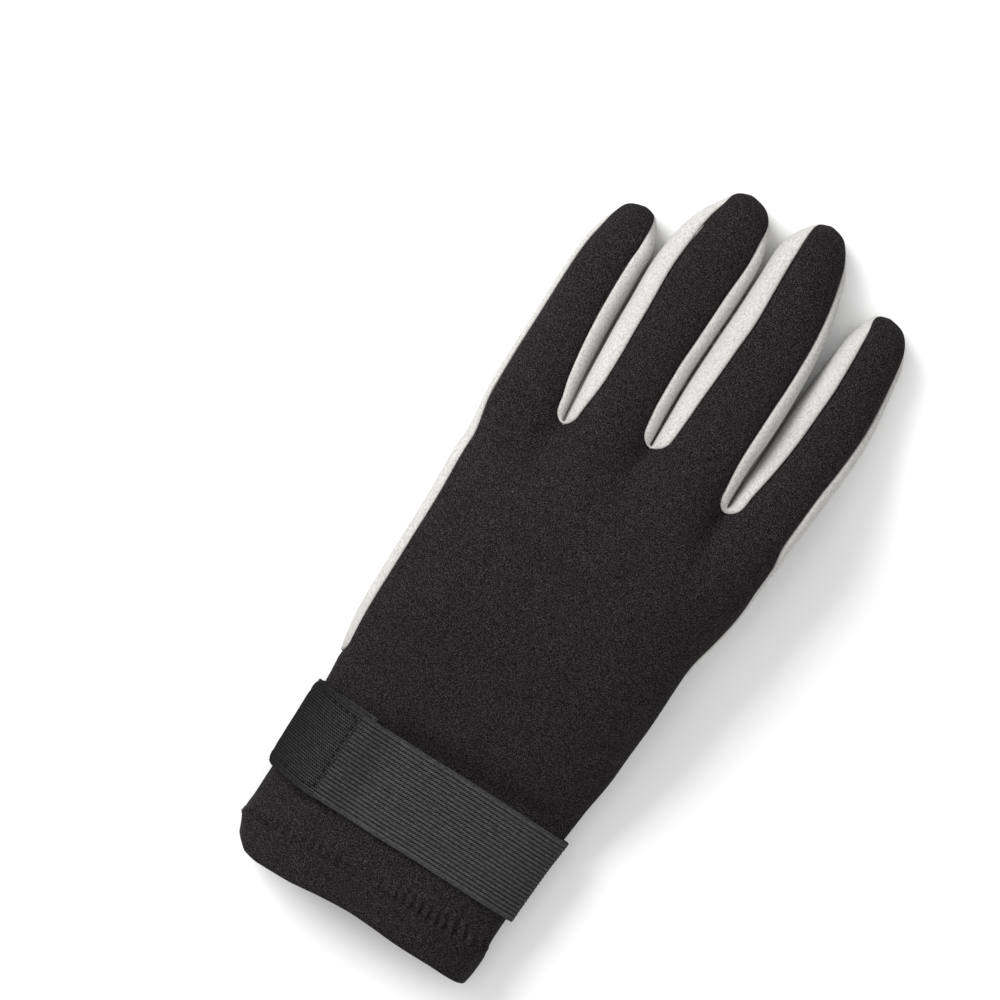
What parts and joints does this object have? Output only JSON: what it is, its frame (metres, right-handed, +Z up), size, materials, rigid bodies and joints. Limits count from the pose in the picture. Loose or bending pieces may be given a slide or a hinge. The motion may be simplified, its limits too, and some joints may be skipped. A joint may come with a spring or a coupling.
{
  "type": "diving glove",
  "caption": "Black neoprene diving glove with grey suede side strips, a reinforced palm and a wrist strap, lying palm down with its thumb folded under.",
  "frame": {"origin": "under the middle of the glove, on the surface it lies on", "axes": "+Z up through the back of the hand, +Y from the cuff to the fingertips, +X towards the index finger"},
  "size_m": [0.1086, 0.252, 0.0409],
  "materials": {
    "neoprene": "fine matt jersey over foam",
    "suede": "soft napped suede",
    "microfibre": "matt brushed microfibre",
    "webbing": "ribbed elastic webbing",
    "tab": "flat stitched webbing"
  },
  "bodies": {
    "root": {"back_panel": "neoprene", "palm_panel": "suede", "gusset_little_outer": "suede", "gusset_little_ring": "suede", "gusset_ring_middle": "suede", "gusset_middle_index": "suede", "gusset_index_outer": "suede", "palm_patch": "microfibre", "index_tip_patch": "microfibre", "middle_tip_patch": "microfibre", "thumb_back": "neoprene", "thumb_front": "suede", "thumb_patch": "microfibre", "wrist_cuff": "neoprene", "strap_band": "webbing", "strap_tab": "tab"}
  },
  "joints": []
}
